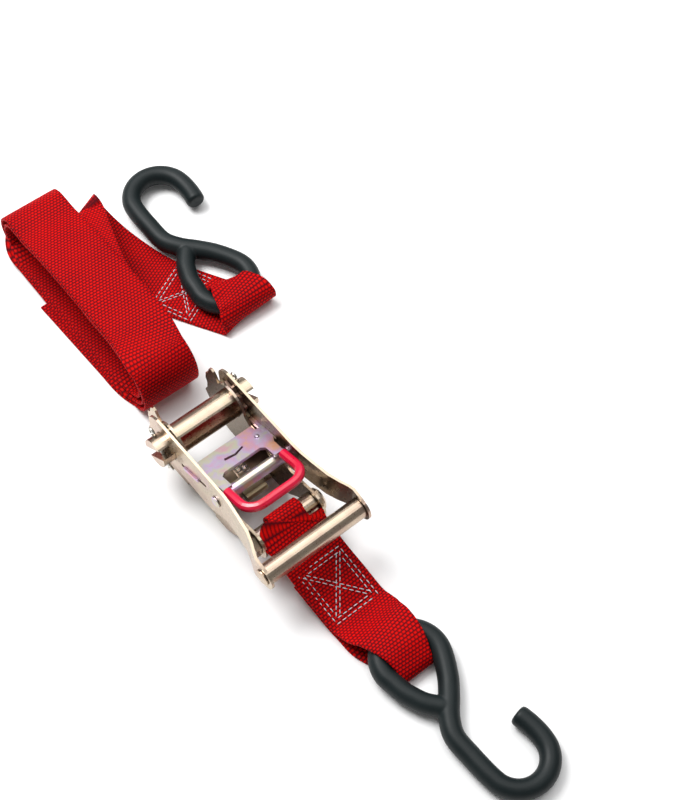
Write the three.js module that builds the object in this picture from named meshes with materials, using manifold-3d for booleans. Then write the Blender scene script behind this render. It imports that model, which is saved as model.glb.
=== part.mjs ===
// Ratchet tie-down strap: a cam-handled ratchet with a fixed end on an S-hook and a loose rolled strap
// with a second S-hook. Millimetres, +Z up. The origin is the middle of the slotted winding spindle,
// +X points to the fixed hook, +Y runs along the spindle and the floor is at z = -FLOOR_DROP.
import * as THREE from 'three';
import { mergeVertices } from 'three/addons/utils/BufferGeometryUtils.js';
import Module from 'manifold-3d';

const wasm = await Module();
wasm.setup();

// ---------- driving dimensions ----------
const GAP = 0.35;
const WEB_WIDTH = 38;
const WEB_THICK = 1.8;
const FLOOR_DROP = 33;
const FLOOR = -FLOOR_DROP;

const FRAME_INNER = WEB_WIDTH / 2 + 0.55;
const FRAME_THICK = 1.5;
const FRAME_OUTER = FRAME_INNER + FRAME_THICK;
const WHEEL_INNER = FRAME_OUTER + GAP;
const WHEEL_THICK = 1.8;
const WHEEL_OUTER = WHEEL_INNER + WHEEL_THICK;
const HANDLE_INNER = WHEEL_OUTER + GAP;
const HANDLE_THICK = 1.6;
const HANDLE_OUTER = HANDLE_INNER + HANDLE_THICK;

const SPINDLE_RADIUS = 9;
const SPINDLE_HOLE = SPINDLE_RADIUS + GAP;
const SPINDLE_SLOT = 6;
const SPINDLE_SLOT_ANGLE = THREE.MathUtils.degToRad(40);
const SPINDLE_PROUD = 8;
const SPINDLE_HALF = HANDLE_OUTER + SPINDLE_PROUD;
const COTTER_Y = HANDLE_OUTER + 3.6;
const COTTER_RADIUS = 1.2;

const TOOTH_COUNT = 12;
const TOOTH_TIP = 14;
const TOOTH_ROOT = 11.5;
const NOSE_REACH = TOOTH_TIP + GAP;

const BOLT = { x: 74.5, z: -9 };
const BOLT_RADIUS = 4;
const BOLT_HEAD = { radius: 7, height: 3.8 };
const NUT = { acrossFlats: 13, height: 3.6 };
const SLEEVE_RADIUS = 6.3;

const GRIP = { x: 98.5, z: 5, radius: 6.15, halfLength: 32.3 };
const GRIP_RIVET_RADIUS = 3;
const CROSS_ROD = { x: 46, z: 2, radius: 3.8, neck: 2.6 };

const PAWL_THICK = 2;
const DRIVE_SLOPE = Math.atan(0.325);
const DRIVE_REF = { x: 35.5, z: 5.5 };
const LOCK_SLOPE = -Math.atan(0.14);
const LOCK_REF = { x: 14, z: -6.1 };
const BAIL_COAT_RADIUS = 2.85;

const HOOK_ROD_RADIUS = 5.85;
const HOOK_EYE_RADIUS = 17.3;
const HOOK_BEND_RADIUS = 17.8;
const HOOK_BAR_HEIGHT = FLOOR + WEB_THICK + GAP + HOOK_ROD_RADIUS;
const FIXED_HOOK_BAR = { x: 157.2, y: 6.5, z: HOOK_BAR_HEIGHT };
const FIXED_HOOK_TILT = THREE.MathUtils.degToRad(1);
const LOOSE_HOOK_BAR = { x: -66, y: 77.5, z: HOOK_BAR_HEIGHT };

const ROLL_HEIGHT = 40;

// ---------- materials ----------
const metal = (color, roughness) => new THREE.MeshStandardMaterial({ color, roughness, metalness: 0.9 });
const plain = (color, roughness) => new THREE.MeshStandardMaterial({ color, roughness, metalness: 0 });
const zincYellow = () => metal('#c9b48c', 0.35);
const zincBronze = () => metal('#7c6a4f', 0.4);
const zincLilac = () => metal('#c7aebd', 0.35);
const springSteel = () => metal('#9a9a98', 0.3);
const hookCoat = () => plain('#26302f', 0.4);
const bailVinyl = () => plain('#e0173f', 0.3);
const webbing = () => plain('#c8140c', 0.85);

// ---------- solids: faceted geometry in and out of the boolean library ----------
function toSolid(geometry) {
  const bare = geometry.index ? geometry.clone() : geometry;
  bare.deleteAttribute('normal');
  bare.deleteAttribute('uv');
  const merged = mergeVertices(bare, 1e-4);
  const mesh = new wasm.Mesh({
    numProp: 3,
    vertProperties: new Float32Array(merged.attributes.position.array),
    triVerts: new Uint32Array(merged.index.array),
  });
  return new wasm.Manifold(mesh);
}

function toGeometry(solid) {
  const mesh = solid.getMesh();
  const geometry = new THREE.BufferGeometry();
  geometry.setAttribute('position', new THREE.BufferAttribute(new Float32Array(mesh.vertProperties), 3));
  geometry.setIndex(new THREE.BufferAttribute(new Uint32Array(mesh.triVerts), 1));
  geometry.computeVertexNormals();
  return geometry;
}

const join = (...solids) => solids.reduce((sum, next) => sum.add(next));
const cut = (solid, ...tools) => tools.reduce((left, tool) => left.subtract(tool), solid);

// An outline in (x, z) given depth along Y.
function sidePrism(shape, yFrom, yTo, curveSegments = 10) {
  const geometry = new THREE.ExtrudeGeometry(shape, { depth: yTo - yFrom, bevelEnabled: false, curveSegments });
  geometry.rotateX(Math.PI / 2);
  geometry.translate(0, yTo, 0);
  return toSolid(geometry);
}

// An outline in (x, y) given depth along Z.
function planPrism(shape, zFrom, zTo, curveSegments = 8) {
  const geometry = new THREE.ExtrudeGeometry(shape, { depth: zTo - zFrom, bevelEnabled: false, curveSegments });
  geometry.translate(0, 0, zFrom);
  return toSolid(geometry);
}

// An outline in (y, z) given depth along X.
function endPrism(shape, xFrom, xTo, curveSegments = 6) {
  const geometry = new THREE.ExtrudeGeometry(shape, { depth: xTo - xFrom, bevelEnabled: false, curveSegments });
  const turn = new THREE.Matrix4().makeBasis(
    new THREE.Vector3(0, 1, 0),
    new THREE.Vector3(0, 0, 1),
    new THREE.Vector3(1, 0, 0),
  );
  geometry.applyMatrix4(turn);
  geometry.translate(xFrom, 0, 0);
  return toSolid(geometry);
}

function box(x0, x1, y0, y1, z0, z1) {
  const geometry = new THREE.BoxGeometry(x1 - x0, y1 - y0, z1 - z0);
  geometry.translate((x0 + x1) / 2, (y0 + y1) / 2, (z0 + z1) / 2);
  return toSolid(geometry);
}

// A round bar along Y.
function pinY(radius, yFrom, yTo, x, z, sides = 24) {
  const geometry = new THREE.CylinderGeometry(radius, radius, yTo - yFrom, sides);
  geometry.translate(x, (yFrom + yTo) / 2, z);
  return toSolid(geometry);
}

// A turned piece about Y from (radius, y) pairs.
function turnedY(profile, x, z, sides = 24) {
  const points = profile.map(([radius, y]) => new THREE.Vector2(radius, y));
  const geometry = new THREE.LatheGeometry(points, sides);
  geometry.translate(x, 0, z);
  return toSolid(geometry);
}

function roundSection(radius, sides) {
  const points = [];
  for (let i = 0; i < sides; i += 1) {
    const angle = (i / sides) * 2 * Math.PI;
    points.push(new THREE.Vector2(radius * Math.cos(angle), radius * Math.sin(angle)));
  }
  return new THREE.Shape(points);
}

function tubeAlong(points, radius, steps, sides) {
  const path = new THREE.CatmullRomCurve3(points, false, 'centripetal');
  const geometry = new THREE.ExtrudeGeometry(roundSection(radius, sides), {
    steps,
    bevelEnabled: false,
    extrudePath: path,
  });
  return toSolid(geometry);
}

const polygon = (points) => new THREE.Shape(points.map(([a, b]) => new THREE.Vector2(a, b)));

function arcPoints(cx, cy, radius, fromDeg, toDeg, count) {
  const points = [];
  for (let i = 0; i <= count; i += 1) {
    const angle = THREE.MathUtils.degToRad(fromDeg + ((toDeg - fromDeg) * i) / count);
    points.push([cx + radius * Math.cos(angle), cy + radius * Math.sin(angle)]);
  }
  return points;
}

// ---------- the object ----------
const tieDown = new THREE.Group();
const bodies = {};
for (const name of ['frame', 'spindle', 'handle', 'drivePawl', 'lockPawl', 'shortStrap', 'fixedHook',
  'longStrap', 'looseHook']) {
  bodies[name] = new THREE.Group();
  tieDown.add(bodies[name]);
}

function place(body, name, solid, material) {
  const mesh = new THREE.Mesh(toGeometry(solid), material);
  mesh.name = name;
  bodies[body].add(mesh);
  return mesh;
}

// Height of the two pawl planes at a station along X.
const drivePlane = (x) => DRIVE_REF.z + Math.tan(DRIVE_SLOPE) * (x - DRIVE_REF.x);
const lockPlane = (x) => LOCK_REF.z + Math.tan(LOCK_SLOPE) * (x - LOCK_REF.x);

// A slanted slot along a pawl plane, open through one side plate.
function pawlSlot(plane, xFrom, xTo, halfHeight, yFrom, yTo) {
  const outline = polygon([
    [xFrom, plane(xFrom) - halfHeight],
    [xTo, plane(xTo) - halfHeight],
    [xTo + halfHeight, plane(xTo + halfHeight)],
    [xTo, plane(xTo) + halfHeight],
    [xFrom, plane(xFrom) + halfHeight],
    [xFrom - halfHeight * 0.5, plane(xFrom - halfHeight * 0.5)],
  ]);
  return sidePrism(outline, yFrom, yTo);
}

// ---------- frame ----------
function frameOutline() {
  const dome = arcPoints(0, 0, 13, 6, 148, 14);
  const front = arcPoints(BOLT.x, BOLT.z, 10, -100, 80, 12);
  return polygon([
    [-2, FLOOR],
    [48, FLOOR],
    [54, -30],
    [62, -22],
    ...front,
    [66, -1],
    [60, -2.6],
    [18, -2.6],
    ...dome,
    [-15.2, 13.2],
    [-17.2, 14],
    [-19.3, 12],
    [-20.4, 6.5],
    [-22.6, 4.6],
    [-23, -1],
    [-21.6, -5],
    [-21.8, -10],
    [-24, -14.6],
    [-20, -21.5],
    [-12, -27.5],
    [-6, -31.5],
  ]);
}

const WEB_FROM = 12;
const WEB_TO = 38;

function floorChannel() {
  const bend = 3;
  const shape = new THREE.Shape();
  shape.moveTo(-FRAME_OUTER, FLOOR + 8);
  shape.lineTo(-FRAME_OUTER, FLOOR + bend);
  shape.quadraticCurveTo(-FRAME_OUTER, FLOOR, -FRAME_OUTER + bend, FLOOR);
  shape.lineTo(FRAME_OUTER - bend, FLOOR);
  shape.quadraticCurveTo(FRAME_OUTER, FLOOR, FRAME_OUTER, FLOOR + bend);
  shape.lineTo(FRAME_OUTER, FLOOR + 8);
  shape.lineTo(FRAME_INNER, FLOOR + 8);
  shape.lineTo(FRAME_INNER, FLOOR + bend);
  shape.quadraticCurveTo(FRAME_INNER, FLOOR + FRAME_THICK, FRAME_INNER - bend / 2, FLOOR + FRAME_THICK);
  shape.lineTo(-FRAME_INNER + bend / 2, FLOOR + FRAME_THICK);
  shape.quadraticCurveTo(-FRAME_INNER, FLOOR + FRAME_THICK, -FRAME_INNER, FLOOR + bend);
  shape.lineTo(-FRAME_INNER, FLOOR + 8);
  return endPrism(shape, WEB_FROM, WEB_TO);
}

function framePlates() {
  const outline = frameOutline();
  const near = sidePrism(outline, -FRAME_OUTER, -FRAME_INNER);
  const far = sidePrism(outline, FRAME_INNER, FRAME_OUTER);
  const bothSides = FRAME_OUTER + 1;
  return cut(
    join(near, far),
    pinY(SPINDLE_HOLE, -bothSides, bothSides, 0, 0, 32),
    pinY(BOLT_RADIUS + GAP, -bothSides, bothSides, BOLT.x, BOLT.z),
    pawlSlot(lockPlane, 17, 36, PAWL_THICK / 2 + GAP, -bothSides, bothSides),
    box(WEB_FROM, WEB_TO, -bothSides, bothSides, FLOOR - 1, FLOOR + 6),
  );
}

const SPRING_TAB = { x: 38, halfWidth: 3, top: -5.6 };

// The front edge of the floor carries an upright tab that the lock pawl's spring pushes against.
const springTab = box(
  SPRING_TAB.x - FRAME_THICK, SPRING_TAB.x,
  -SPRING_TAB.halfWidth, SPRING_TAB.halfWidth,
  FLOOR + 0.5, SPRING_TAB.top,
);
place('frame', 'base_frame', join(framePlates(), floorChannel(), springTab), zincYellow());

// ---------- fixed-end bolt, its sleeve and nut ----------
const boltEnd = -(FRAME_OUTER + GAP + NUT.height + 0.7);
const headFrom = FRAME_OUTER + GAP;
const boltProfile = [
  [0, boltEnd],
  [BOLT_RADIUS - 0.6, boltEnd],
  [BOLT_RADIUS, boltEnd + 0.6],
  [BOLT_RADIUS, headFrom],
  [BOLT_HEAD.radius, headFrom],
  [BOLT_HEAD.radius, headFrom + BOLT_HEAD.height * 0.55],
  [BOLT_HEAD.radius * 0.8, headFrom + BOLT_HEAD.height * 0.88],
  [BOLT_HEAD.radius * 0.45, headFrom + BOLT_HEAD.height],
  [0, headFrom + BOLT_HEAD.height],
];
place('frame', 'fixed_bolt', turnedY(boltProfile, BOLT.x, BOLT.z), zincYellow());

const sleeveHalf = FRAME_INNER - GAP;
const sleeve = cut(
  pinY(SLEEVE_RADIUS, -sleeveHalf, sleeveHalf, BOLT.x, BOLT.z),
  pinY(BOLT_RADIUS + GAP, -sleeveHalf - 1, sleeveHalf + 1, BOLT.x, BOLT.z),
);
place('frame', 'bolt_sleeve', sleeve, zincYellow());

const nutRadius = NUT.acrossFlats / Math.sqrt(3);
const nutFrom = -(FRAME_OUTER + GAP + NUT.height);
const nut = cut(
  pinY(nutRadius, nutFrom, nutFrom + NUT.height, BOLT.x, BOLT.z, 6),
  pinY(BOLT_RADIUS + GAP, nutFrom - 1, nutFrom + NUT.height + 1, BOLT.x, BOLT.z),
);
place('frame', 'hex_nut', nut, zincYellow());

// ---------- spindle: two half-round bars, two toothed wheels, two cotter pins ----------
const slotNormal = [-Math.sin(SPINDLE_SLOT_ANGLE), Math.cos(SPINDLE_SLOT_ANGLE)];

// Half-round section on one side of the slot; grow makes the matching hole.
function halfMoon(side, grow) {
  const radius = SPINDLE_RADIUS + grow;
  const flat = SPINDLE_SLOT / 2 - grow;
  const reach = Math.acos(flat / radius);
  const middle = Math.atan2(side * slotNormal[1], side * slotNormal[0]);
  const deg = THREE.MathUtils.radToDeg;
  return polygon(arcPoints(0, 0, radius, deg(middle - reach), deg(middle + reach), 18));
}

function cotterHole(y) {
  const geometry = new THREE.CylinderGeometry(COTTER_RADIUS + GAP, COTTER_RADIUS + GAP, 30, 12);
  geometry.rotateX(Math.PI / 2);
  geometry.rotateY(-SPINDLE_SLOT_ANGLE);
  geometry.translate(0, y, 0);
  return toSolid(geometry);
}

for (const [name, side] of [['spindle_bar_upper', 1], ['spindle_bar_lower', -1]]) {
  const bar = cut(
    sidePrism(halfMoon(side, 0), -SPINDLE_HALF, SPINDLE_HALF),
    cotterHole(-COTTER_Y),
    cotterHole(COTTER_Y),
  );
  place('spindle', name, bar, zincYellow());
}

function wheelOutline() {
  const points = [];
  for (let i = 0; i < TOOTH_COUNT; i += 1) {
    const start = (i / TOOTH_COUNT) * 2 * Math.PI;
    const pitch = (2 * Math.PI) / TOOTH_COUNT;
    for (const [share, radius] of [[0, TOOTH_TIP], [0.16, TOOTH_TIP], [0.3, TOOTH_ROOT], [0.55, TOOTH_ROOT]]) {
      const angle = start + share * pitch;
      points.push([radius * Math.cos(angle), radius * Math.sin(angle)]);
    }
  }
  return polygon(points);
}

for (const [name, yFrom] of [['ratchet_wheel_near', -WHEEL_OUTER], ['ratchet_wheel_far', WHEEL_INNER]]) {
  const yTo = yFrom + WHEEL_THICK;
  const wheel = cut(
    sidePrism(wheelOutline(), yFrom, yTo),
    sidePrism(halfMoon(1, GAP), yFrom - 1, yTo + 1),
    sidePrism(halfMoon(-1, GAP), yFrom - 1, yTo + 1),
  );
  place('spindle', name, wheel, zincBronze());
}

// Split pin through both bars, across the slot: round shank, eye at one end, two spread legs at the other.
function cotterPin() {
  const shankEnd = SPINDLE_RADIUS + 1.6;
  const shank = new THREE.CylinderGeometry(COTTER_RADIUS, COTTER_RADIUS, 2 * shankEnd, 10);
  const eye = new THREE.TorusGeometry(2.1, 0.85, 8, 16);
  eye.translate(0, shankEnd + 1.5, 0);
  const legs = [-1, 1].map((side) => {
    const leg = new THREE.CylinderGeometry(0.75, 0.75, 4.2, 8);
    leg.rotateZ(side * 0.75);
    leg.translate(side * 1.5, -shankEnd - 0.9, 0);
    return toSolid(leg);
  });
  return join(toSolid(shank), toSolid(eye), ...legs);
}

for (const [name, y] of [['cotter_pin_near', -COTTER_Y], ['cotter_pin_far', COTTER_Y]]) {
  const pin = place('spindle', name, cotterPin(), springSteel());
  const across = new THREE.Vector3(slotNormal[0], 0, slotNormal[1]);
  const alongY = new THREE.Vector3(0, 1, 0);
  pin.quaternion.setFromRotationMatrix(
    new THREE.Matrix4().makeBasis(new THREE.Vector3().crossVectors(across, alongY), across, alongY),
  );
  pin.position.set(0, y, 0);
}

// ---------- handle: two flared plates, grip tube, its rivet and the cross rod ----------
function handleOutline() {
  const shape = new THREE.Shape();
  shape.moveTo(-9, -10.4);
  shape.quadraticCurveTo(-13.2, -8, -14.6, 0);
  shape.lineTo(-15.6, 8);
  shape.quadraticCurveTo(-16.2, 14.5, -8, 17);
  shape.lineTo(76, 17);
  shape.quadraticCurveTo(90, 17, GRIP.x + 2, GRIP.z + 7.9);
  shape.absarc(GRIP.x, GRIP.z, 8, THREE.MathUtils.degToRad(76), THREE.MathUtils.degToRad(-92), true);
  shape.lineTo(62, -5.4);
  shape.quadraticCurveTo(52, -8, 42, -14.6);
  shape.quadraticCurveTo(38, -16, 30, -15.5);
  shape.lineTo(4, -13);
  return shape;
}

// Plan of one handle plate: parallel to the frame, then flared out to the grip.
function handleBand(side) {
  const flare = [
    [-20, 0], [51, 0], [58, 0.5], [66, 1.6], [77, 3.4], [84, 5.8],
    [89, 8.1], [92, 9], [110, 9]];
  const inner = flare.map(([x, out]) => [x, side * (HANDLE_INNER + out)]);
  const outer = flare.map(([x, out]) => [x, side * (HANDLE_OUTER + out)]).reverse();
  const loop = [...inner, ...outer];
  return planPrism(polygon(side > 0 ? loop : loop.reverse()), -30, 30);
}

function handlePlate(side) {
  const reach = HANDLE_OUTER + 20;
  const yFrom = side > 0 ? HANDLE_INNER - 1 : -reach;
  const yTo = side > 0 ? reach : 1 - HANDLE_INNER;
  return cut(
    sidePrism(handleOutline(), yFrom, yTo).intersect(handleBand(side)),
    pinY(SPINDLE_HOLE, yFrom, yTo, 0, 0, 32),
    pinY(GRIP_RIVET_RADIUS + GAP, yFrom, yTo, GRIP.x, GRIP.z),
    pinY(CROSS_ROD.neck + GAP, yFrom, yTo, CROSS_ROD.x, CROSS_ROD.z, 16),
    pawlSlot(drivePlane, 14.4, 36, PAWL_THICK / 2 + GAP, yFrom, yTo),
  );
}

place('handle', 'handle_plate_near', handlePlate(-1), zincYellow());
place('handle', 'handle_plate_far', handlePlate(1), zincYellow());

const gripTube = cut(
  pinY(GRIP.radius, -GRIP.halfLength, GRIP.halfLength, GRIP.x, GRIP.z, 32),
  pinY(GRIP_RIVET_RADIUS + GAP, -GRIP.halfLength - 1, GRIP.halfLength + 1, GRIP.x, GRIP.z, 16),
);
place('handle', 'grip_tube', gripTube, zincYellow());

// A rod whose ends pass through the plates and are peened over outside them.
function peenedRod(body, neck, bodyHalf, headFrom_, head, x, z) {
  const half = [
    [body, bodyHalf],
    [neck, bodyHalf],
    [neck, headFrom_],
    [head.radius, headFrom_],
    [head.radius, headFrom_ + head.height * 0.5],
    [head.radius * 0.7, headFrom_ + head.height],
  ].filter(([radius], i) => !(body === neck && i < 2 && radius === neck));
  const lower = half.map(([radius, y]) => [radius, -y]).reverse();
  const tipY = headFrom_ + head.height;
  return turnedY([[0, -tipY], ...lower, ...half, [0, tipY]], x, z, 20);
}

const flareAtGrip = 9;
const gripRivet = peenedRod(
  GRIP_RIVET_RADIUS, GRIP_RIVET_RADIUS, GRIP.halfLength,
  HANDLE_OUTER + flareAtGrip + GAP, { radius: 5, height: 1.2 }, GRIP.x, GRIP.z,
);
place('handle', 'grip_rivet', gripRivet, zincYellow());

const crossRod = peenedRod(
  CROSS_ROD.radius, CROSS_ROD.neck, HANDLE_INNER - GAP,
  HANDLE_OUTER + GAP, { radius: 3.6, height: 1.1 }, CROSS_ROD.x, CROSS_ROD.z,
);
place('handle', 'cross_rod', crossRod, zincLilac());

// ---------- pawls: flat plates modelled level, then tilted onto their planes ----------
function onPlane(solid, slope, ref) {
  const turn = new THREE.Matrix4().makeRotationY(-slope);
  turn.setPosition(ref.x, 0, ref.z);
  const geometry = toGeometry(solid);
  geometry.applyMatrix4(turn);
  return toSolid(geometry);
}

const mirrored = (points) => [...points, ...points.map(([a, b]) => [a, -b]).reverse()];

// Distance along the drive plane, from its reference station, to where it meets a circle about the spindle.
function driveStation(radius) {
  const cos = Math.cos(DRIVE_SLOPE);
  const sin = Math.sin(DRIVE_SLOPE);
  const along = DRIVE_REF.x * cos + DRIVE_REF.z * sin;
  const off = -DRIVE_REF.x * sin + DRIVE_REF.z * cos;
  return Math.sqrt(radius * radius - off * off) - along;
}

const BAIL = { legY: 19.3, frontU: 35, cornerRadius: 9 };
const noseU = driveStation(NOSE_REACH + 0.4);
const wingU = driveStation(24.2);
const noseIn = WHEEL_INNER + 0.05;
const noseOut = WHEEL_OUTER;
const earOut = HANDLE_OUTER + 1.2;

// Lengthwise (u) and crosswise (v) outline of the drive pawl, spindle end first.
function drivePlate() {
  const outline = mirrored([
    [-16.2, FRAME_INNER - GAP - 0.2],
    [wingU, FRAME_INNER - GAP - 0.2],
    [wingU, noseIn],
    [noseU, noseIn],
    [noseU, noseOut],
    [-19, noseOut],
    [-19, earOut],
    [-5.2, earOut],
    [-5.2, noseOut],
    [-1, noseOut],
    [3, BAIL.legY + 1.8],
    [12, BAIL.legY + 1.4],
  ]);
  const blank = planPrism(polygon(outline.reverse()), -PAWL_THICK / 2, PAWL_THICK / 2);
  const opening = planPrism(
    polygon(mirrored([[1.2, 12.4], [3.4, 14.8], [30, 14.8]]).reverse()), -PAWL_THICK, PAWL_THICK,
  );
  const lance = planPrism(
    polygon([[-7.2, -6.5], [-5.4, -7], [-4.2, 0], [-6.2, 6.5], [-7.4, 6.2], [-5.9, 0]].reverse()),
    -PAWL_THICK, PAWL_THICK,
  );
  const boss = new THREE.SphereGeometry(1.5, 10, 8);
  boss.scale(1, 1, 0.7);
  boss.translate(-7, 16.5, PAWL_THICK / 2);
  const springLug = box(-10.4, -8.8, -3.4, 3.4, -8.4, 0);
  const wire = bailWire(PAWL_THICK / 2 - 0.05, 9);
  return join(cut(blank, opening, lance), toSolid(boss), springLug, wire);
}

// The bail's U in the pawl plane, from one leg round the front bar to the other.
function bailPoints(startU) {
  const { legY, frontU, cornerRadius } = BAIL;
  const corner = (side, from, to) => arcPoints(frontU - cornerRadius, side * (legY - cornerRadius), cornerRadius, from, to, 5);
  const flat = [
    [startU, legY],
    [(startU + frontU - cornerRadius) / 2, legY],
    ...corner(1, 90, 0),
    [frontU, 0],
    ...corner(-1, 0, -90),
    [(startU + frontU - cornerRadius) / 2, -legY],
    [startU, -legY],
  ];
  return flat.map(([u, v]) => new THREE.Vector3(u, v, 0));
}

function bailWire(radius, startU) {
  return tubeAlong(bailPoints(startU), radius, 30, 6);
}

// The vinyl coat is the bail's outer tube with the wire and the legs taken out of it.
function bailCoat() {
  const coat = tubeAlong(bailPoints(13.4), BAIL_COAT_RADIUS, 34, 10);
  const bore = tubeAlong(bailPoints(8), PAWL_THICK / 2 + GAP, 34, 6);
  return cut(coat, bore);
}

place('drivePawl', 'drive_pawl_plate', onPlane(drivePlate(), DRIVE_SLOPE, DRIVE_REF), zincLilac());
place('drivePawl', 'bail_coat', onPlane(bailCoat(), DRIVE_SLOPE, DRIVE_REF), bailVinyl());

function spring(coilRadius, wireRadius, length, coils) {
  const points = [];
  const perCoil = 8;
  for (let i = 0; i <= coils * perCoil; i += 1) {
    const turn = (i / perCoil) * 2 * Math.PI;
    const along = (length * i) / (coils * perCoil);
    points.push(new THREE.Vector3(along, coilRadius * Math.cos(turn), coilRadius * Math.sin(turn)));
  }
  return tubeAlong(points, wireRadius, coils * perCoil, 5);
}

const driveSpring = place('drivePawl', 'drive_spring', spring(1.9, 0.4, 11.4, 6), springSteel());
driveSpring.rotation.y = -DRIVE_SLOPE;
driveSpring.position.set(29.7, 0, drivePlane(29.7) - 5.2);

// ---------- lock pawl and its spring ----------
function lockPlate() {
  const lockNose = Math.sqrt((NOSE_REACH + 0.5) ** 2 - 37) - LOCK_REF.x;
  const outline = mirrored([
    [5, FRAME_INNER - GAP - 0.2],
    [5, noseIn + 0.1],
    [lockNose, noseIn + 0.1],
    [lockNose, noseOut],
    [18, noseOut],
    [18, FRAME_INNER - GAP - 0.2],
    [26, FRAME_INNER - GAP - 1],
    [29, 12],
    [30, 7],
    [34, 7],
  ]);
  const blank = planPrism(polygon(outline.reverse()), -PAWL_THICK / 2, PAWL_THICK / 2);
  const springSlot = box(10.5, 31, -3.5, 3.5, -PAWL_THICK, PAWL_THICK);
  const spur = box(9, 15, -1, 1, -PAWL_THICK / 2, PAWL_THICK / 2);
  const curl = new THREE.CylinderGeometry(2.4, 2.4, 14, 16);
  curl.translate(35, 0, -0.9);
  return join(cut(blank, springSlot), spur, toSolid(curl));
}

place('lockPawl', 'lock_pawl_plate', onPlane(lockPlate(), LOCK_SLOPE, LOCK_REF), zincBronze());

const lockSpring = place('lockPawl', 'lock_spring', spring(2.2, 0.4, 10.6, 6), springSteel());
lockSpring.rotation.y = -LOCK_SLOPE;
lockSpring.position.set(25.2, 0, lockPlane(25.2));

// ---------- S-hooks: one round rod, open hook at one end, closed and welded eye at the other ----------
// The eye's bar is at the local origin and the open hook is towards +X.
function hookSolid() {
  const bend = arcPoints(92.8, 7.9, HOOK_BEND_RADIUS, 90, -90, 8);
  const eye = arcPoints(HOOK_EYE_RADIUS, 0, HOOK_EYE_RADIUS, 72, 288, 10);
  const route = [
    [75.4, 23.8],
    [84, 25.4],
    ...bend,
    [78, -10.6],
    [64, -10.2],
    [54.5, -5.2],
    [46, 2.2],
    [37, 9.2],
    ...eye,
    [30, -15.3],
    [38, -12.2],
  ];
  const rod = tubeAlong(route.map(([x, y]) => new THREE.Vector3(x, y, 0)), HOOK_ROD_RADIUS, 60, 12);
  const weldRoute = [[34, -13.9], [41, -10.6], [50, -3.2]];
  const weld = tubeAlong(weldRoute.map(([x, y]) => new THREE.Vector3(x, y, 0)), HOOK_ROD_RADIUS - 0.1, 4, 12);
  return join(rod, weld);
}

const fixedHook = place('fixedHook', 'fixed_hook', hookSolid(), hookCoat());
fixedHook.position.set(FIXED_HOOK_BAR.x, FIXED_HOOK_BAR.y, FIXED_HOOK_BAR.z);
fixedHook.rotation.y = FIXED_HOOK_TILT;

const looseHook = place('looseHook', 'loose_hook', hookSolid(), hookCoat());
looseHook.position.set(LOOSE_HOOK_BAR.x, LOOSE_HOOK_BAR.y, LOOSE_HOOK_BAR.z);
looseHook.rotation.y = Math.PI;

// the gathered loops stand this far off the curved bars, so that the hooks swing freely
const LOOP_SLACK = 0.9;

// ---------- short strap: loop round the bolt, sewn run down to the floor, loop round the hook's bar ----------
function shortStrap() {
  const loopOuter = SLEEVE_RADIUS + GAP + WEB_THICK;
  const barX = FIXED_HOOK_BAR.x;
  const barZ = FIXED_HOOK_BAR.z;
  const barClear = HOOK_ROD_RADIUS + GAP + LOOP_SLACK;
  const outline = polygon([
    ...arcPoints(BOLT.x, BOLT.z, loopOuter, 262, 82, 14),
    [100, -11.6],
    [112, -19.4],
    [136, -27],
    [147, -25.6],
    [153, barZ + barClear],
    [barX, barZ + barClear + WEB_THICK],
    [barX + 8, barZ + barClear + WEB_THICK],
    [171, -18.2],
    [181.2, -24.6],
    [182.6, -27.5],
    [181, -31],
    [176, FLOOR],
    [136, FLOOR],
    [126, -30.6],
    [104, -22.6],
  ].reverse());
  const hookLoop = polygon([
    [146.5, -29],
    [150.4, -21.6],
    [barX - 3, barZ + barClear],
    [barX + 9, barZ + barClear],
    [170.4, -20.2],
    [179.6, -26],
    [179.6, -29],
    [175, FLOOR + WEB_THICK],
    [150, FLOOR + WEB_THICK],
  ].reverse());
  const loopInner = SLEEVE_RADIUS + GAP;
  const boltLoop = polygon([...arcPoints(BOLT.x, BOLT.z, loopInner, 262, 82, 14), [88, -7.6], [98, -16.4]].reverse());
  const plan = polygon([
    [60, -WEB_WIDTH / 2],
    [84, -WEB_WIDTH / 2],
    [141, -14.4],
    [151, 2],
    [184, 2],
    [184, 11],
    [151, 11],
    [141, 23.6],
    [84, WEB_WIDTH / 2],
    [60, WEB_WIDTH / 2],
  ]);
  const wide = WEB_WIDTH;
  const run = sidePrism(outline, -wide, wide);
  return cut(run, sidePrism(hookLoop, -wide, wide), sidePrism(boltLoop, -wide, wide))
    .intersect(planPrism(plan, FLOOR - 1, 20));
}

place('shortStrap', 'short_strap', shortStrap(), webbing());

// ---------- long strap: flat roll standing on its side, and the lead to the loose hook ----------
function strapRoll() {
  const top = FLOOR + ROLL_HEIGHT;
  const outline = polygon([
    ...arcPoints(-57, FLOOR + 20, 20, -90, 90, 12),
    [-110, top],
    [-150, top - 1],
    ...arcPoints(-179, FLOOR + 19, 18.6, 100, 262, 10),
  ]);
  const hollow = polygon([[-64, -8], [-78, -1], [-110, 1], [-150, -2], [-172, -9], [-150, -16], [-110, -14]]);
  const plan = polygon([[-30, -12.6], [-30, 25.4], [-205, 31], [-205, -7]]);
  return cut(sidePrism(outline, -60, 60), sidePrism(hollow, -60, 60)).intersect(planPrism(plan, FLOOR - 5, 40));
}

place('longStrap', 'strap_roll', strapRoll(), webbing());

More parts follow.
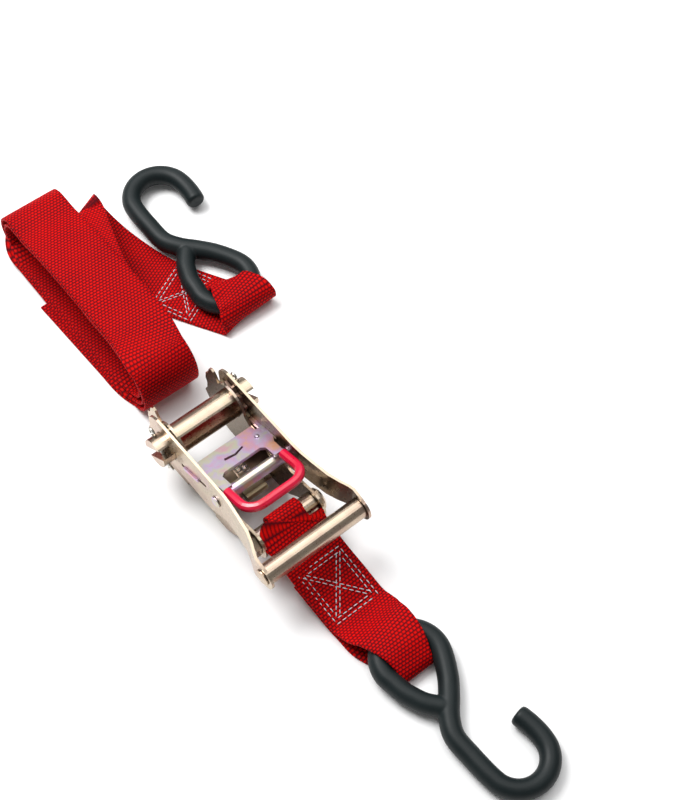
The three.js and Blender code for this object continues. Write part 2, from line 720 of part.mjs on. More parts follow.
function strapLead() {
  const { x, y, z } = LOOSE_HOOK_BAR;
  const clear = HOOK_ROD_RADIUS + GAP + LOOP_SLACK;
  const bed = planPrism(polygon([
    [-181, 32],
    [-110, 32],
    [-82, 43.5],
    [-60, 57],
    [-59, 70],
    [-59, 86],
    [-63, 97],
    [-84, 93],
    [-112, 78],
    [-143, 62],
    [-181, 55],
  ]), FLOOR, FLOOR + WEB_THICK);
  const outer = polygon([
    [-98, FLOOR + 0.4],
    [x + clear, FLOOR + 0.4],
    [x + clear + WEB_THICK, FLOOR + 4],
    [x + clear + WEB_THICK, z + 3],
    [x + 3, z + clear + WEB_THICK],
    [x - 12, z + clear + WEB_THICK],
    [-92, FLOOR + 4.4],
    [-98, FLOOR + 1.4],
  ]);
  const inner = polygon([
    [-90, FLOOR + WEB_THICK],
    [x + clear - 1, FLOOR + WEB_THICK],
    [x + clear, z - 3],
    [x + clear, z + 2.6],
    [x + 3, z + clear],
    [x - 11.4, z + clear],
  ]);
  const loop = cut(sidePrism(outer, y - 4.6, y + 4.6), sidePrism(inner, y - 20, y + 20));
  return join(bed, loop);
}

place('longStrap', 'strap_lead', strapLead(), webbing());

export default tieDown;
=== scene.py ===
"""Looks for the ratchet tie-down.

Coated hooks, woven webbing with its stitching, plated metal and the vinyl bail."""
import math

import bpy
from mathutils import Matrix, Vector


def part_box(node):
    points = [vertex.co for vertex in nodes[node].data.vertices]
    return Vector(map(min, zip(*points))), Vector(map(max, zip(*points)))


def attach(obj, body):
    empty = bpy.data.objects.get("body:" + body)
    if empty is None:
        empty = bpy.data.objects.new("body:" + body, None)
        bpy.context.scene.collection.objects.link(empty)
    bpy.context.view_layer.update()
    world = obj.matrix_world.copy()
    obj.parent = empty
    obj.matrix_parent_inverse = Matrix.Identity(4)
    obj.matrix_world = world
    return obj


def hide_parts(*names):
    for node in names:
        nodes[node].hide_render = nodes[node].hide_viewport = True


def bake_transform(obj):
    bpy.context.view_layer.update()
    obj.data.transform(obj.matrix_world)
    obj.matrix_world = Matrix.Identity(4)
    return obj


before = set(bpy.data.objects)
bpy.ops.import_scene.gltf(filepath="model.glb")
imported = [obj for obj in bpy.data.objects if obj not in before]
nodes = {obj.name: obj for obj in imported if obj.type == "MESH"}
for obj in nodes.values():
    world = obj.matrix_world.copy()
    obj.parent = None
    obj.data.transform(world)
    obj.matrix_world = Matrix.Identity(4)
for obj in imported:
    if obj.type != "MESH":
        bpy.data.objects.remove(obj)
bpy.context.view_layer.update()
MM = 0.001
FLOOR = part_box("base_frame")[0].z / MM


# ---------- camera ----------
CAMERA_AZIMUTH = math.radians(51.5)
CAMERA_ELEVATION = math.radians(62)
CAMERA_PLACE = (383.8, -248.2, 775.4)
LENS = 72
SENSOR_WIDTH = 36
SHIFT_X = 0.0768
SHIFT_Y = 0.1107
FAR_CLIP = 20


def add_camera():
    """The photo's view: a long lens looking steeply down, across the strap."""
    data = bpy.data.cameras.new("camera")
    data.lens = LENS
    data.sensor_width = SENSOR_WIDTH
    data.shift_x = SHIFT_X
    data.shift_y = SHIFT_Y
    data.clip_end = FAR_CLIP
    camera = bpy.data.objects.new("camera", data)
    bpy.context.scene.collection.objects.link(camera)
    camera.location = Vector(CAMERA_PLACE) * MM
    back = Vector((
        math.sin(CAMERA_AZIMUTH) * math.cos(CAMERA_ELEVATION),
        -math.cos(CAMERA_AZIMUTH) * math.cos(CAMERA_ELEVATION),
        math.sin(CAMERA_ELEVATION),
    ))
    camera.rotation_mode = "QUATERNION"
    camera.rotation_quaternion = back.to_track_quat("Z", "Y")
    bpy.context.scene.camera = camera


add_camera()


# ---------- material helpers ----------
class Nodes:
    """A material's node tree with short calls for adding and joining nodes."""

    def __init__(self, name):
        self.material = bpy.data.materials.new(name)
        self.material.use_nodes = True
        self.tree = self.material.node_tree
        self.shader = self.tree.nodes["Principled BSDF"]

    def add(self, kind, **settings):
        node = self.tree.nodes.new(kind)
        for key, value in settings.items():
            setattr(node, key, value)
        return node

    def link(self, source, target):
        self.tree.links.new(source, target)

    def set(self, name, value):
        self.shader.inputs[name].default_value = value

    def math(self, operation, first, second=None):
        node = self.add("ShaderNodeMath", operation=operation)
        for socket, value in zip(node.inputs, (first, second)):
            if value is None:
                continue
            if isinstance(value, (int, float)):
                socket.default_value = value
            else:
                self.link(value, socket)
        return node.outputs[0]

    def noise(self, coordinate, scale, detail=3.0, roughness=0.5):
        node = self.add("ShaderNodeTexNoise")
        node.inputs["Scale"].default_value = scale
        node.inputs["Detail"].default_value = detail
        node.inputs["Roughness"].default_value = roughness
        self.link(coordinate, node.inputs["Vector"])
        return node.outputs["Fac"]

    def ramp(self, factor, stops):
        node = self.add("ShaderNodeValToRGB")
        ramp = node.color_ramp
        while len(ramp.elements) < len(stops):
            ramp.elements.new(0.5)
        for element, (position, colour) in zip(ramp.elements, stops):
            element.position = position
            element.color = (*colour, 1)
        self.link(factor, node.inputs["Fac"])
        return node.outputs["Color"]

    def bump(self, height, strength, distance):
        node = self.add("ShaderNodeBump")
        node.inputs["Strength"].default_value = strength
        node.inputs["Distance"].default_value = distance
        self.link(height, node.inputs["Height"])
        self.link(node.outputs["Normal"], self.shader.inputs["Normal"])

    def range(self, factor, low, high):
        node = self.add("ShaderNodeMapRange")
        node.inputs["To Min"].default_value = low
        node.inputs["To Max"].default_value = high
        self.link(factor, node.inputs["Value"])
        return node.outputs["Result"]


def inward(made, coordinates):
    """How squarely a face looks towards the plane Y = 0 of its own object; 0 for one that looks away. This
    masks the painted shade on the inward faces, where other parts shade them.
    """
    place = made.add("ShaderNodeSeparateXYZ")
    facing = made.add("ShaderNodeSeparateXYZ")
    made.link(coordinates.outputs["Object"], place.inputs[0])
    made.link(coordinates.outputs["Normal"], facing.inputs[0])
    side = made.math("SIGN", place.outputs[1])
    outward = made.math("MULTIPLY", facing.outputs[1], side)
    return made.math("MAXIMUM", made.math("MULTIPLY", outward, -1.0), 0.0)


# Dark brown of the painted shade on faces that look inward, towards the middle of a part.
INWARD_SHADE_COLOUR = (0.1, 0.065, 0.03)
SCUFF_SCALE = 420
GRAIN_SCALE = 1500


def plated(name, stops, rough_low, rough_high, patch_scale=38, painted_shade=0.0):
    """Zinc plate with slow patches of tint and small scuffs, and painted shade on the faces that look
    inward, as strong as its last argument.
    """
    made = Nodes(name)
    coordinates = made.add("ShaderNodeTexCoord")
    coordinate = coordinates.outputs["Object"]
    patches = made.noise(coordinate, patch_scale, 4, 0.55)
    tint = made.ramp(patches, stops)
    # Painted shade: the inward faces, which the other parts shade, are mixed towards the dark colour.
    if painted_shade:
        mix = made.add("ShaderNodeMix", data_type="RGBA")
        made.link(made.math("MULTIPLY", inward(made, coordinates), painted_shade), mix.inputs["Factor"])
        made.link(tint, mix.inputs["A"])
        mix.inputs["B"].default_value = (*INWARD_SHADE_COLOUR, 1)
        tint = mix.outputs["Result"]
    made.link(tint, made.shader.inputs["Base Color"])
    made.set("Metallic", 1.0)
    scuffs = made.noise(coordinate, SCUFF_SCALE, 5, 0.65)
    made.link(made.range(scuffs, rough_low, rough_high), made.shader.inputs["Roughness"])
    grain = made.noise(coordinate, GRAIN_SCALE, 2)
    made.bump(made.math("ADD", grain, scuffs), 0.05, 0.00006)
    return made.material


def gold_zinc():
    # The gold plate gets painted shade on its inward faces.
    return plated("gold_zinc", [
        (0.26, (0.46, 0.3, 0.25)),
        (0.42, (0.51, 0.39, 0.3)),
        (0.52, (0.57, 0.46, 0.35)),
        (0.62, (0.5, 0.42, 0.3)),
        (0.76, (0.52, 0.35, 0.38)),
    ], 0.24, 0.32, painted_shade=0.85)


def lilac_zinc():
    return plated("lilac_zinc", [
        (0.28, (0.78, 0.36, 0.18)),
        (0.38, (0.72, 0.42, 0.34)),
        (0.46, (0.66, 0.38, 0.54)),
        (0.54, (0.58, 0.48, 0.64)),
        (0.62, (0.6, 0.58, 0.44)),
        (0.74, (0.7, 0.38, 0.48)),
    ], 0.3, 0.4, 70)


def bronze_zinc():
    return plated("bronze_zinc", [
        (0.3, (0.17, 0.12, 0.07)),
        (0.5, (0.26, 0.21, 0.13)),
        (0.7, (0.34, 0.22, 0.18)),
    ], 0.26, 0.38)


def bright_steel():
    return plated("bright_steel", [
        (0.35, (0.5, 0.5, 0.48)),
        (0.65, (0.68, 0.66, 0.6)),
    ], 0.2, 0.35, 90)


def hook_coating():
    """Dipped charcoal coat: satin, with a slight orange-peel surface."""
    made = Nodes("hook_coating")
    coordinate = made.add("ShaderNodeTexCoord").outputs["Object"]
    tone = made.noise(coordinate, 60, 3)
    colours = made.ramp(tone, [(0.3, (0.004, 0.0085, 0.0095)), (0.7, (0.008, 0.0135, 0.0145))])
    made.link(colours, made.shader.inputs["Base Color"])
    peel = made.noise(coordinate, 700, 2)
    made.link(made.range(tone, 0.44, 0.54), made.shader.inputs["Roughness"])
    made.set("Specular IOR Level", 0.26)
    made.bump(peel, 0.1, 0.0002)
    return made.material


def bail_vinyl():
    """Thick glossy vinyl dip, crimson with a faint flow texture."""
    made = Nodes("bail_vinyl")
    coordinate = made.add("ShaderNodeTexCoord").outputs["Object"]
    tone = made.noise(coordinate, 80, 2)
    colours = made.ramp(tone, [(0.3, (0.62, 0.002, 0.03)), (0.7, (0.72, 0.006, 0.055))])
    made.link(colours, made.shader.inputs["Base Color"])
    made.link(made.range(tone, 0.24, 0.34), made.shader.inputs["Roughness"])
    made.bump(made.noise(coordinate, 300, 2), 0.08, 0.0002)
    made.set("Subsurface Weight", 0.04)
    made.set("Coat Weight", 0.4)
    made.set("Coat Roughness", 0.2)
    return made.material


# The weave's pitch along and across the strap, in millimetres, and how flat-topped its dots are each way.
RIB_PITCH = 1.9
YARN_PITCH = 2.3
RIB_POWER = 0.55
YARN_POWER = 0.34


def weave_dots(made):
    """Height of the weave, 0 to 1: dots in rows across the strap, each row half a yarn off the last."""
    uv = made.add("ShaderNodeUVMap", uv_map="weave").outputs["UV"]
    split = made.add("ShaderNodeSeparateXYZ")
    made.link(uv, split.inputs[0])
    along, across = split.outputs[0], split.outputs[1]
    rib = made.math("COSINE", made.math("MULTIPLY", along, 2 * math.pi / RIB_PITCH))
    row = made.math("FLOOR", made.math("ADD", made.math("DIVIDE", along, RIB_PITCH), 0.5))
    shifted = made.math("ADD", across, made.math("MULTIPLY", row, 0.5 * YARN_PITCH))
    yarn = made.math("COSINE", made.math("MULTIPLY", shifted, 2 * math.pi / YARN_PITCH))
    rib_height = made.math("ADD", made.math("MULTIPLY", rib, 0.5), 0.5)
    yarn_height = made.math("ADD", made.math("MULTIPLY", yarn, 0.5), 0.5)
    rib_top = made.math("POWER", rib_height, RIB_POWER)
    yarn_top = made.math("POWER", yarn_height, YARN_POWER)
    return made.math("MULTIPLY", rib_top, yarn_top)


def webbing():
    """Plain-woven polyester: plump yarn dots, with painted shade in the crevices between them."""
    made = Nodes("webbing")
    dot = weave_dots(made)
    coordinate = made.add("ShaderNodeTexCoord").outputs["Object"]
    fibres = made.noise(coordinate, 2600, 2)
    slow = made.noise(coordinate, 45, 3)
    crevice_shade_and_tone = made.math("ADD", dot, made.math("MULTIPLY", made.math("SUBTRACT", fibres, 0.5), 0.35))
    crevice_shade_and_tone = made.math("ADD", crevice_shade_and_tone, made.math("MULTIPLY", made.math("SUBTRACT", slow, 0.5), 0.3))
    # Low ground between the dots comes out dark: painted shade in the weave's crevices. The fibres and the
    # slow patches add the cloth's own random tone.
    colours = made.ramp(crevice_shade_and_tone, [
        (0.0, (0.06, 0.002, 0.006)),
        (0.28, (0.2, 0.002, 0.004)),
        (0.6, (0.44, 0.002, 0.002)),
        (0.98, (0.66, 0.004, 0.002)),
    ])
    made.link(colours, made.shader.inputs["Base Color"])
    made.set("Roughness", 0.62)
    made.set("Sheen Weight", 0.03)
    made.set("Sheen Roughness", 0.4)
    made.set("Sheen Tint", (1.0, 0.3, 0.45, 1))
    made.set("Specular IOR Level", 0.05)
    made.bump(made.math("ADD", dot, made.math("MULTIPLY", fibres, 0.2)), 0.75, 0.00035)
    return made.material


def thread():
    """Pale stitching thread."""
    made = Nodes("thread")
    coordinate = made.add("ShaderNodeTexCoord").outputs["Object"]
    twist = made.noise(coordinate, 3000, 2)
    colours = made.ramp(twist, [(0.3, (0.42, 0.5, 0.56)), (0.7, (0.7, 0.78, 0.82))])
    made.link(colours, made.shader.inputs["Base Color"])
    made.set("Roughness", 0.6)
    made.bump(twist, 0.4, 0.0001)
    return made.material


GOLD = gold_zinc()
LILAC = lilac_zinc()
BRONZE = bronze_zinc()
BRIGHT = bright_steel()
COATING = hook_coating()
VINYL = bail_vinyl()
WEBBING = webbing()
THREAD = thread()

FINISHES = {
    GOLD: ["base_frame", "fixed_bolt", "bolt_sleeve", "hex_nut", "spindle_bar_upper", "spindle_bar_lower",
           "handle_plate_near", "handle_plate_far", "grip_tube", "grip_rivet"],
    LILAC: ["drive_pawl_plate", "cross_rod"],
    BRONZE: ["ratchet_wheel_near", "ratchet_wheel_far", "lock_pawl_plate"],
    BRIGHT: ["cotter_pin_near", "cotter_pin_far", "drive_spring", "lock_spring"],
    VINYL: ["bail_coat"],
    COATING: ["fixed_hook", "loose_hook"],
    WEBBING: ["short_strap", "strap_roll", "strap_lead"],
}


ROUND = ["grip_tube", "bail_coat", "cross_rod", "fixed_bolt", "grip_rivet", "drive_spring", "lock_spring",
         "cotter_pin_near", "cotter_pin_far", "bolt_sleeve"]
PRESSED = ["base_frame", "handle_plate_near", "handle_plate_far", "spindle_bar_upper", "spindle_bar_lower",
           "ratchet_wheel_near", "ratchet_wheel_far", "drive_pawl_plate", "lock_pawl_plate", "hex_nut"]
SHARP_ANGLE = math.radians(38)
EDGE_WIDTH = 0.28


def soften(node):
    """Small rounded edges on a pressed or turned piece."""
    bevel = node.modifiers.new("edge", "BEVEL")
    bevel.width = EDGE_WIDTH * MM
    bevel.segments = 2
    bevel.limit_method = "ANGLE"
    bevel.angle_limit = SHARP_ANGLE
    bevel.harden_normals = False


def finish_nodes():
    """Gives the CAD pieces their materials, smooth shading and softened edges."""
    for material, names in FINISHES.items():
        for name in names:
            mesh = nodes[name].data
            mesh.materials.clear()
            mesh.materials.append(material)
    for name in ROUND + PRESSED:
        nodes[name].data.shade_smooth()
        nodes[name].data.set_sharp_from_angle(angle=SHARP_ANGLE)
    for name in PRESSED:
        soften(nodes[name])


finish_nodes()


# ---------- mesh helpers ----------
def catmull(points, step):
    """Points on a centripetal Catmull-Rom curve through tuples of any length, about step apart in space."""
    rows = [Vector(p[:3]) for p in points]
    out = []
    for i in range(len(points) - 1):
        p0, p1, p2, p3 = (points[max(0, min(len(points) - 1, i + k))] for k in (-1, 0, 1, 2))
        span = (rows[i + 1] - rows[i]).length
        count = max(1, round(span / step))
        gaps = []
        for a, b in ((p0, p1), (p1, p2), (p2, p3)):
            gaps.append(max(1e-4, (Vector(b[:3]) - Vector(a[:3])).length) ** 0.5)
        for k in range(count):
            t = k / count
            out.append(tuple(hermite(a, b, c, d, t, gaps) for a, b, c, d in zip(p0, p1, p2, p3)))
    out.append(tuple(points[-1]))
    return out


def hermite(a, b, c, d, t, gaps):
    """One number of the curve, at share t of the span from b to c.

    gaps are the square roots of the three distances between the controls. Where a number repeats at
    either side, the middle gap stands in for that one."""
    before, here, after = gaps
    if a == b:
        before = here
    if c == d:
        after = here
    slope_b = here * ((b - a) / before - (c - a) / (before + here) + (c - b) / here)
    slope_c = here * ((c - b) / here - (d - b) / (here + after) + (d - c) / after)
    t2, t3 = t * t, t * t * t
    return (
        (2 * t3 - 3 * t2 + 1) * b + (t3 - 2 * t2 + t) * slope_b
        + (3 * t2 - 2 * t3) * c + (t3 - t2) * slope_c
    )


def arc(cx, cy, radius, start, end, count):
    """Points round part of a circle, from start to end degrees."""
    turns = [math.radians(start + (end - start) * i / count) for i in range(count + 1)]
    return [(cx + radius * math.cos(a), cy + radius * math.sin(a)) for a in turns]


def add_mesh(name, vertices, faces, material, smooth=True):
    """A mesh object from vertices in millimetres."""
    mesh = bpy.data.meshes.new(name)
    mesh.from_pydata([Vector(v) * MM for v in vertices], [], faces)
    mesh.materials.append(material)
    if smooth:
        mesh.shade_smooth()
    piece = bpy.data.objects.new(name, mesh)
    bpy.context.scene.collection.objects.link(piece)
    return piece


def direction_at(points, i):
    """Unit direction of a line of points at number i."""
    ahead = points[min(i + 1, len(points) - 1)]
    behind = points[max(i - 1, 0)]
    return (ahead - behind).normalized()


def tube_faces(base, rings, sides):
    """Faces that join rings of vertices, counted from base, into a closed tube."""
    faces = []
    for i in range(rings - 1):
        a = base + i * sides
        b = a + sides
        for k in range(sides):
            n = (k + 1) % sides
            faces.append((a + k, a + n, b + n, b + k))
    last = base + (rings - 1) * sides
    faces.append(tuple(base + k for k in reversed(range(sides))))
    faces.append(tuple(last + k for k in range(sides)))
    return faces


# ---------- straps and rods ----------
THICK = 1.7
HALF = 19.0
ON_FLOOR = FLOOR + 0.95
STRAP_STEP = 0.6
STRAP_COLUMNS = 14
RIB_SWELL = 0.12
FLAT_SHARE = 0.985
EDGE_SHARE = 0.45


def strip_section():
    """Cross-section of the strap from (share of half width, share of half thickness) pairs, round-edged."""
    columns = [-1 + 2 * i / STRAP_COLUMNS for i in range(STRAP_COLUMNS + 1)]
    top = [(max(-FLAT_SHARE, min(FLAT_SHARE, v)), 1.0) for v in columns]
    right = [(1.0, EDGE_SHARE), (1.0, -EDGE_SHARE)]
    bottom = [(v, -1.0) for v, _ in reversed(top)]
    left = [(-1.0, -EDGE_SHARE), (-1.0, EDGE_SHARE)]
    return top + right + bottom + left


def running_lengths(centres):
    """Length along the strap at each of its centres."""
    lengths = [0.0]
    for a, b in zip(centres, centres[1:]):
        lengths.append(lengths[-1] + (b - a).length)
    return lengths


def strap_ring(section, centre, tangent, station, rib):
    """The ring of vertices round one station."""
    half, yaw, roll = station[3], math.radians(station[4]), math.radians(station[5])
    width = Vector((-math.sin(yaw) * math.cos(roll), math.cos(yaw) * math.cos(roll), math.sin(roll)))
    width = (width - tangent * width.dot(tangent)).normalized()
    normal = tangent.cross(width)
    ring = []
    for v, h in section:
        swell = rib * (1 - v ** 8) if abs(h) == 1 else 0
        ring.append(centre + width * (v * half) + normal * (h * (THICK / 2 + swell)))
    return ring


def add_weave_map(piece, section, lengths, stations):
    """Millimetres along and across the strap, for the webbing's shader."""
    layer = piece.data.uv_layers.new(name="weave")
    for loop in piece.data.loops:
        i, j = divmod(loop.vertex_index, len(section))
        layer.data[loop.index].uv = (lengths[i], section[j][0] * stations[i][3])


def strap_piece(name, controls):
    """A closed thin strap along (x, y, z, half width, yaw, roll) controls, with ribs and a weave map.

    yaw turns the width direction about Z and roll lifts its +Y edge, both in degrees."""
    stations = catmull(controls, STRAP_STEP)
    section = strip_section()
    centres = [Vector(s[:3]) for s in stations]
    lengths = running_lengths(centres)
    vertices = []
    for i, station in enumerate(stations):
        rib = RIB_SWELL * math.cos(2 * math.pi * lengths[i] / RIB_PITCH)
        vertices += strap_ring(section, centres[i], direction_at(centres, i), station, rib)
    piece = add_mesh(name, vertices, tube_faces(0, len(stations), len(section)), WEBBING)
    add_weave_map(piece, section, lengths, stations)
    piece["length_mm"] = lengths[-1]
    return piece


ROD_STEP = 0.6
ROD_SIDES = 28
END_ROUNDING = 2.4
END_NARROWING = 0.8
VOXEL = 0.6
RELAX_FACTOR = 0.5
RELAX_ROUNDS = 8


def rod_radius(points, point, radius):
    """The rod's radius at a point, drawn in over the last END_ROUNDING millimetres of each end."""
    near_end = min((point - points[0]).length, (point - points[-1]).length)
    reach = 1 - min(1.0, near_end / END_ROUNDING)
    return radius - END_ROUNDING * END_NARROWING * (1 - math.sqrt(1 - reach * reach))


def add_rod(vertices, faces, route, radius):
    """Adds one closed round rod along a route to the two lists."""
    points = [Vector(p) for p in catmull(route, ROD_STEP)]
    base = len(vertices)
    for i, point in enumerate(points):
        tangent = direction_at(points, i)
        side = Vector((0, 0, 1)).cross(tangent).normalized()
        up = tangent.cross(side)
        size = rod_radius(points, point, radius)
        for k in range(ROD_SIDES):
            turn = 2 * math.pi * k / ROD_SIDES
            vertices.append(point + side * (size * math.cos(turn)) + up * (size * math.sin(turn)))
    for i in range(len(points) - 1):
        a = base + i * ROD_SIDES
        b = a + ROD_SIDES
        for k in range(ROD_SIDES):
            n = (k + 1) % ROD_SIDES
            faces.append((a + k, b + k, b + n, a + n))
    last = base + (len(points) - 1) * ROD_SIDES
    faces.append(tuple(base + k for k in range(ROD_SIDES)))
    faces.append(tuple(last + k for k in reversed(range(ROD_SIDES))))


def rods_mesh(name, routes, radius, material):
    """Round rods along routes, fused into one skin with small fillets where they meet."""
    vertices, faces = [], []
    for route in routes:
        add_rod(vertices, faces, route, radius)
    rough = add_mesh(name, vertices, faces, material)
    skin = rough.modifiers.new("skin", "REMESH")
    skin.mode = "VOXEL"
    skin.voxel_size = VOXEL * MM
    relax = rough.modifiers.new("relax", "SMOOTH")
    relax.factor = RELAX_FACTOR
    relax.iterations = RELAX_ROUNDS
    graph = bpy.context.evaluated_depsgraph_get()
    mesh = bpy.data.meshes.new_from_object(rough.evaluated_get(graph))
    rough.modifiers.clear()
    rough.data = mesh
    mesh.materials.clear()
    mesh.materials.append(material)
    mesh.shade_smooth()
    return rough


# ---------- S-hooks ----------
ROD = 5.95
BAR_Z = FLOOR + 8.0
FIXED_BAR = Vector((157.2, 6.5, BAR_Z))
LOOSE_BAR = Vector((-66, 77.5, BAR_Z))
FIXED_TILT = math.radians(1)


def hook_routes(place):
    """The hook's rod from its tip round to the eye, and the short stretch where the eye is welded shut."""
    bend = arc(92.8, 7.9, 17.8, 90, -90, 8)
    eye = arc(17.3, 0, 17.3, 72, 288, 10)
    rod = [(75.4, 23.8), (84, 25.4), *bend, (78, -10.6), (64, -10.2), (54.5, -5.2), (46, 2.2), (37, 9.2),
           *eye, (30, -15.3), (38, -12.2)]
    weld = [(34, -13.9), (41, -10.6), (50, -3.2)]
    return [[place(u, v) for u, v in route] for route in (rod, weld)]


def fixed_place(u, v):
    """The fixed hook runs towards +X, its tip a little low."""
    return FIXED_BAR.x + u * math.cos(FIXED_TILT), FIXED_BAR.y + v, FIXED_BAR.z - u * math.sin(FIXED_TILT)


def loose_place(u, v):
    """The loose hook runs towards -X and lies level."""
    return LOOSE_BAR.x - u, LOOSE_BAR.y + v, LOOSE_BAR.z


for hook_name, placing, body_name in (
    ("fixed_hook", fixed_place, "fixed_hook_body"),
    ("loose_hook", loose_place, "loose_hook_body"),
):
    skin = rods_mesh(hook_name + "_coated", hook_routes(placing), ROD, COATING)
    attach(skin, body_name)
    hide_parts(hook_name)


# ---------- short strap ----------
BOLT = (74.5, -9.0)
LOOP_RADIUS = 7.6
DRIFT_START = 84
DRIFT_RATE = 0.068
DRIFT_LIMIT = 4.2
SKEW = 3.9
SKEW_FROM = 90
SKEW_TO = 143
GATHER_END = 182
GATHER_DEPTH = 8.8
GATHER_SHIFT = 1.2
GATHER_BULGE = 1.6
# Known fault: the bolt loop and the run behind it should keep the full width. This lies beyond GATHER_END,
# so the share in short_control is 1 for them and they come out fully narrowed.
ALL_GATHERED = 200


def short_run(x):
    """Sideways drift of the short strap's middle line."""
    return max(0.0, DRIFT_RATE * (x - DRIFT_START))


def short_control(x, z, gather_from):
    """One control of the short strap, narrowing from x = gather_from to GATHER_END.

    A gather_from beyond GATHER_END narrows it fully at every x before that."""
    ease = max(0.0, min(1.0, (x - gather_from) / (GATHER_END - gather_from)))
    half = HALF - GATHER_DEPTH * ease
    middle = min(short_run(x), DRIFT_LIMIT) + GATHER_SHIFT * ease + GATHER_BULGE * math.sin(math.pi * ease)
    yaw = SKEW if SKEW_FROM < x < SKEW_TO else 0
    return x, middle, z, half, yaw, 0


def short_strap_controls():
    """From the sewn run's underside out to the hook's bar, back over it, round the bolt and under again."""
    under = [(103, -20.6), (118, -26.1), (130, -30.4), (140, ON_FLOOR), (150, ON_FLOOR),
             (165, ON_FLOOR), (176, FLOOR + 1.0)]
    turn = [(180.6, -30.6), (182.2, -27.8), (180.4, -24.8)]
    over = [(175, -21.2), (168, -18.2), (160, -17.7), (153, -19.0), (146, -23.2), (140, -26.2), (135, -28.1),
            (118, -22.3), (101, -16.1), (88, -8.4), (80, -3.4)]
    bolt_loop = arc(*BOLT, LOOP_RADIUS, 62, 248, 10)
    back = [(80, -16.4), (92, -16.9), (101, -18.0), (118, -24.2), (133, -30.0)]
    groups = ((under, 154), (turn, 146), (over, 146), (bolt_loop, ALL_GATHERED), (back, ALL_GATHERED))
    return [short_control(x, z, gather_from) for group, gather_from in groups for x, z in group]


short = strap_piece("short_webbing", short_strap_controls())
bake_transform(short)
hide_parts("short_strap")


# ---------- stitching ----------
STITCH_PITCH = 3.7
STITCH_INSET = 2.6
DASH_LENGTH = 2.6
DASH_SIDES = 6
DASH_RINGS = 5
THREAD_RADIUS = 0.3
DASH_ARCH = 0.26
DASH_DIP = 0.1


def add_dash(vertices, faces, start, end, normal):
    """One thread dash: a small arch from start to end that dips into the cloth at both ends."""
    along = (end - start).normalized()
    side = along.cross(normal).normalized()
    base = len(vertices)
    for i in range(DASH_RINGS):
        t = i / (DASH_RINGS - 1)
        centre = start.lerp(end, t) + normal * (DASH_ARCH * math.sin(math.pi * t) - DASH_DIP)
        size = THREAD_RADIUS * (0.55 + 0.45 * math.sin(math.pi * t))
        for k in range(DASH_SIDES):
            turn = 2 * math.pi * k / DASH_SIDES
            vertices.append(centre + side * (size * math.cos(turn)) + normal * (size * math.sin(turn)))
    faces += tube_faces(base, DASH_RINGS, DASH_SIDES)


def stitch_lines(name, lines, surface, body):
    """Rows of dashes along straight lines given in the cloth's own (along, across) millimetres."""
    vertices, faces = [], []
    for (u0, v0), (u1, v1) in lines:
        length = math.hypot(u1 - u0, v1 - v0)
        count = max(1, int(length / STITCH_PITCH))
        for i in range(count):
            a = (i * STITCH_PITCH) / length
            b = (i * STITCH_PITCH + DASH_LENGTH) / length
            start, normal = surface(u0 + (u1 - u0) * a, v0 + (v1 - v0) * a)
            end, _ = surface(u0 + (u1 - u0) * b, v0 + (v1 - v0) * b)
            add_dash(vertices, faces, start, end, normal)
    piece = add_mesh(name, vertices, faces, THREAD)
    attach(piece, body)


def box_cross(length, width):
    """Two rows round a box and two rows along each diagonal."""
    lines = []
    for shrink in (0.0, STITCH_INSET):
        a, b = length / 2 - shrink, width / 2 - shrink
        corners = [(-a, -b), (a, -b), (a, b), (-a, b)]
        lines += list(zip(corners, corners[1:] + corners[:1]))
    a, b = length / 2 - STITCH_INSET, width / 2 - STITCH_INSET
    for direction in (1, -1):
        for shift in (-STITCH_INSET / 2, STITCH_INSET / 2):
            lines.append(((-a, direction * -b + shift), (a, direction * b + shift)))
    return lines


SEWN_X = 118
SEWN_Z = -22.3
SEWN_SLOPE = math.atan2(-12.0, 34.0)


def short_surface(u, v):
    """Top face of the sewn run and its normal, about the middle of the stitching."""
    x = SEWN_X + u * math.cos(SEWN_SLOPE)
    z = SEWN_Z + u * math.sin(SEWN_SLOPE) + THICK / 2 + RIB_SWELL
    return Vector((x, short_run(x) + v, z)), Vector((-math.sin(SEWN_SLOPE), 0, math.cos(SEWN_SLOPE)))


stitch_lines("short_stitching", box_cross(34, 29), short_surface, "short_strap_body")


# ---------- rolled strap ----------
def roll_middle(x):
    """The roll lies slightly askew: its middle line drifts from the front end to the back."""
    return 7.0 - 0.028 * (x + 40)


def outer_end_shift(x):
    """The outermost run lies aslant, most at its cut end."""
    return -9.0 + 4.0 * (x + 140) / 100


def inner_end_shift(x):
    """The last run strays sideways towards the turn into the lead."""
    return 18.0 * max(0.0, min(1.0, (-104 - x) / 62)) ** 1.3


ROLL_YAW = -1.6


def roll_run(points, shift=0.0):
    """Controls along (x, z) points; shift moves them sideways, as a number or as a function of x."""
    controls = []
    for x, z in points:
        aside = shift(x) if callable(shift) else shift
        controls.append((x, roll_middle(x) + aside, z, HALF, ROLL_YAW, 0))
    return controls


